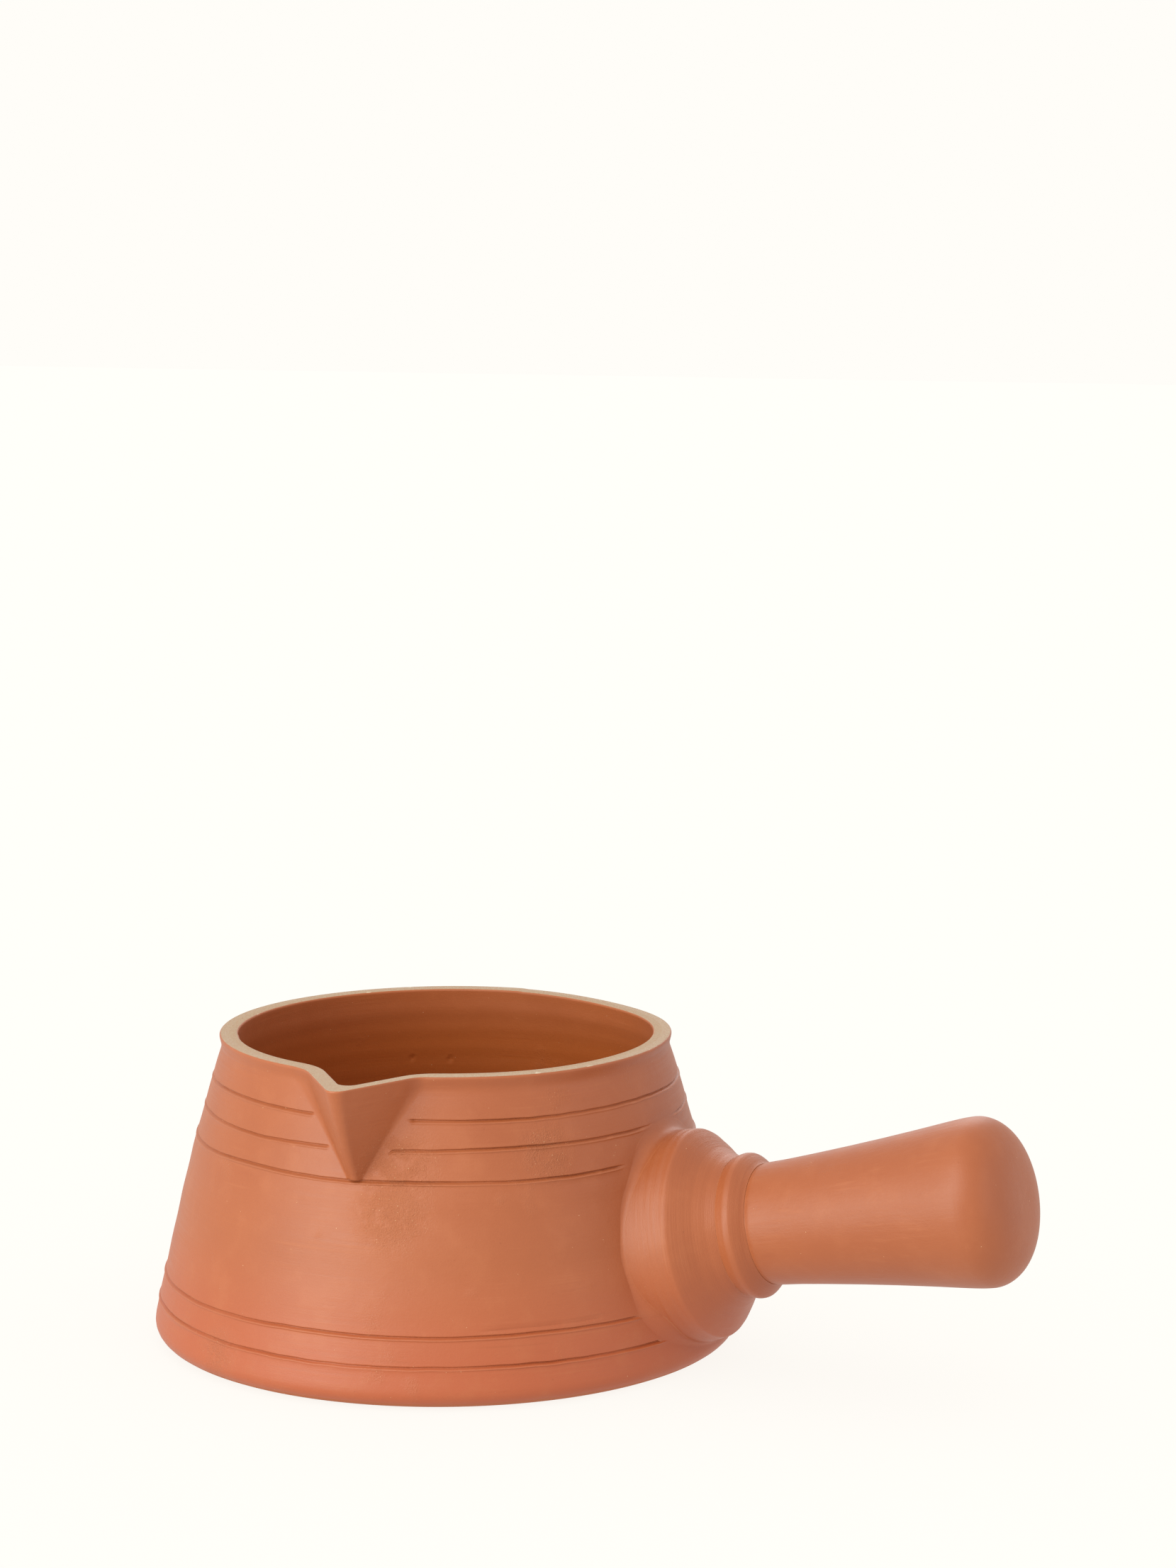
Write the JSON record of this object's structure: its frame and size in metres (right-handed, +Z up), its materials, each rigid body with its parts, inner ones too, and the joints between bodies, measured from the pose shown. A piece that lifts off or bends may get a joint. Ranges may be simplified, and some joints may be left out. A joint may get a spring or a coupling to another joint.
{
  "type": "side-handle pitcher",
  "caption": "Low terracotta pouring bowl with a folded beak at the rim and a flared hollow side handle, for serving and pouring.",
  "frame": {"origin": "centre of the flat base, on the table", "axes": "+Z up, +X towards the handle seen from above; the beak points towards -Y, 7.5 degrees off it on the handle's side"},
  "size_m": [0.2062, 0.1346, 0.069],
  "materials": {
    "body_clay": "unglazed red-orange earthenware, burnished to a soft sheen, fine turning marks",
    "beak_clay": "unglazed earthenware smoothed by hand, paler rounded lip",
    "luting_slip": "slip of the same clay, wiped smooth",
    "bell_clay": "unglazed earthenware with round turning marks",
    "grip_clay": "unglazed earthenware burnished lengthwise, end pinker and duller"
  },
  "bodies": {
    "root": {"thrown_body": "body_clay", "pouring_beak": "beak_clay", "beak_luting_seam": "luting_slip", "handle_bell": "bell_clay", "handle_luting_coil": "luting_slip", "neck_ring": "bell_clay", "handle_grip": "grip_clay"}
  },
  "joints": []
}
